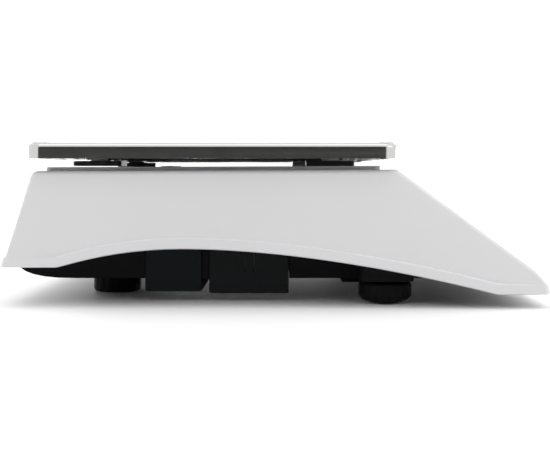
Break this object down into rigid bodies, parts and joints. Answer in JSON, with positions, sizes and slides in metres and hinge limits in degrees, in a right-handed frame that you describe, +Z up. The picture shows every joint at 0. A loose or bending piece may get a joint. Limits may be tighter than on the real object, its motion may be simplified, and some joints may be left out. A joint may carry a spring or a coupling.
{
  "type": "label printing scale",
  "caption": "Low retail counter scale with a removable pan, sloping keypad and display, levelling feet, battery bay and a drop-in label printer under a hinged lid.",
  "frame": {"origin": "on the counter, under the middle of the housing", "axes": "+X towards the operator, +Y to the printer side, +Z up"},
  "size_m": [0.3598, 0.3702, 0.109],
  "materials": {
    "cover_white": "fine moulded white ABS",
    "base_black": "moulded black ABS",
    "battery_box_grey": "moulded dark grey ABS",
    "power_box_blue_black": "moulded blue-black plastic",
    "battery_case": "lead-acid battery case",
    "transformer_core": "varnished laminations",
    "board_green": "solder mask",
    "fitting_black": "gloss black thermoplastic",
    "port_metal": "tinned steel shell",
    "cast_aluminium": "machined aluminium",
    "plated_steel": "zinc plated steel",
    "frame_black": "black painted casting",
    "stainless": "brushed stainless steel sheet",
    "keypad_print": "printed polyester overlay",
    "smoked_window": "smoked acrylic",
    "display_glass": "liquid crystal panel",
    "platen_rubber": "ground rubber sleeve",
    "gear_plastic": "acetal",
    "brass": "turned brass",
    "motor_steel": "pressed steel can",
    "label_paper": "thermal label stock",
    "roll_card": "card tube",
    "button_grey": "moulded grey plastic",
    "vial_amber": "filled acrylic vial",
    "foot_rubber": "black rubber over a steel stud",
    "cushion_grey": "light grey rubber"
  },
  "bodies": {
    "housing": {"top_cover": "cover_white", "base_tray": "base_black", "printer_frame": "base_black", "battery_bay": "base_black", "power_box": "power_box_blue_black", "battery": "battery_case", "transformer": "transformer_core", "power_board": "board_green", "main_board": "board_green", "front_board": "board_green", "rear_board": "board_green", "mains_inlet": "fitting_black", "switch_housing": "fitting_black", "buzzer": "fitting_black", "data_port": "port_metal", "load_cell": "cast_aluminium", "platform_spacer": "cast_aluminium", "load_cell_bracket": "plated_steel", "platform_frame": "frame_black", "keypad_overlay": "keypad_print", "front_window": "smoked_window", "rear_window": "smoked_window", "front_display": "display_glass", "rear_display": "display_glass", "lid_hinge_pin": "plated_steel", "stepper_motor": "motor_steel", "tear_bar": "plated_steel", "level_vial": "vial_amber", "cushion_front_left": "cushion_grey", "cushion_front_right": "cushion_grey", "cell_bolt_front_1": "plated_steel", "cell_bolt_front_2": "plated_steel", "cushion_rear_left": "cushion_grey", "cushion_rear_right": "cushion_grey", "cell_bolt_rear_1": "plated_steel", "cell_bolt_rear_2": "plated_steel", "case_screw_1": "plated_steel", "case_screw_2": "plated_steel", "case_screw_3": "plated_steel", "case_screw_4": "plated_steel"},
    "platter": {"platter": "stainless"},
    "lid": {"printer_lid": "cover_white"},
    "platen": {"platen_roller": "platen_rubber", "platen_shaft": "plated_steel", "platen_gear": "gear_plastic"},
    "roll": {"label_roll": "label_paper", "roll_core": "roll_card"},
    "idler": {"idler_gear": "gear_plastic"},
    "pinion": {"motor_pinion": "brass"},
    "head": {"thermal_head": "cast_aluminium"},
    "release_button": {"lid_release_button": "button_grey"},
    "battery_cover": {"battery_cover": "battery_box_grey"},
    "rocker": {"power_rocker": "fitting_black"},
    "foot_front_left": {"foot_front_left": "foot_rubber"},
    "foot_front_right": {"foot_front_right": "foot_rubber"},
    "foot_rear_left": {"foot_rear_left": "foot_rubber"},
    "foot_rear_right": {"foot_rear_right": "foot_rubber"}
  },
  "joints": [
    {"name": "platter_lift", "type": "slide", "parent": "housing", "child": "platter", "axis": [0, 0, 1], "range_m": [0, 0.06]},
    {"name": "lid_open", "type": "hinge", "parent": "housing", "child": "lid", "pos_m": [0.09546, 0.103, 0.07864], "axis": [0, -1, 0], "range_deg": [0, 85]},
    {"name": "roll_turn", "type": "hinge", "parent": "housing", "child": "roll", "pos_m": [0.09861, 0.106, 0.04272], "axis": [0, 1, 0], "continuous": true},
    {"name": "platen_turn", "type": "hinge", "parent": "lid", "child": "platen", "pos_m": [0.14354, 0.105, 0.03354], "axis": [0, 1, 0], "continuous": true},
    {"name": "idler_turn", "type": "hinge", "parent": "housing", "child": "idler", "pos_m": [0.13247, 0.0715, 0.03007], "axis": [0, 1, 0], "continuous": true},
    {"name": "motor_turn", "type": "hinge", "parent": "housing", "child": "pinion", "pos_m": [0.12612, 0.0715, 0.0378], "axis": [0, 1, 0], "continuous": true},
    {"name": "head_tilt", "type": "hinge", "parent": "housing", "child": "head", "pos_m": [0.14441, 0.105, 0.02116], "axis": [0, 1, 0], "range_deg": [0, 3], "stiffness_Nm_per_rad": 0.5},
    {"name": "release_press", "type": "slide", "parent": "housing", "child": "release_button", "axis": [-0.5979, 0, -0.8016], "range_m": [0, 0.0015], "stiffness_N_per_m": 800},
    {"name": "battery_cover_drop", "type": "slide", "parent": "housing", "child": "battery_cover", "axis": [0, 0, -1], "range_m": [0, 0.045]},
    {"name": "power_rock", "type": "hinge", "parent": "housing", "child": "rocker", "pos_m": [-0.035, 0.147, 0.028], "axis": [0, 0, -1], "range_deg": [0, 14]},
    {"name": "foot_front_left_height", "type": "slide", "parent": "housing", "child": "foot_front_left", "axis": [0, 0, -1], "range_m": [-0.001, 0.008]},
    {"name": "foot_front_right_height", "type": "slide", "parent": "housing", "child": "foot_front_right", "axis": [0, 0, -1], "range_m": [-0.001, 0.008]},
    {"name": "foot_rear_left_height", "type": "slide", "parent": "housing", "child": "foot_rear_left", "axis": [0, 0, -1], "range_m": [-0.001, 0.008]},
    {"name": "foot_rear_right_height", "type": "slide", "parent": "housing", "child": "foot_rear_right", "axis": [0, 0, -1], "range_m": [-0.001, 0.008]}
  ],
  "couplings": [
    {"joint": "platen_turn", "follows": "roll_turn", "ratio": 3.3333},
    {"joint": "idler_turn", "follows": "roll_turn", "ratio": -3.1111},
    {"joint": "motor_turn", "follows": "roll_turn", "ratio": 4.6667}
  ]
}
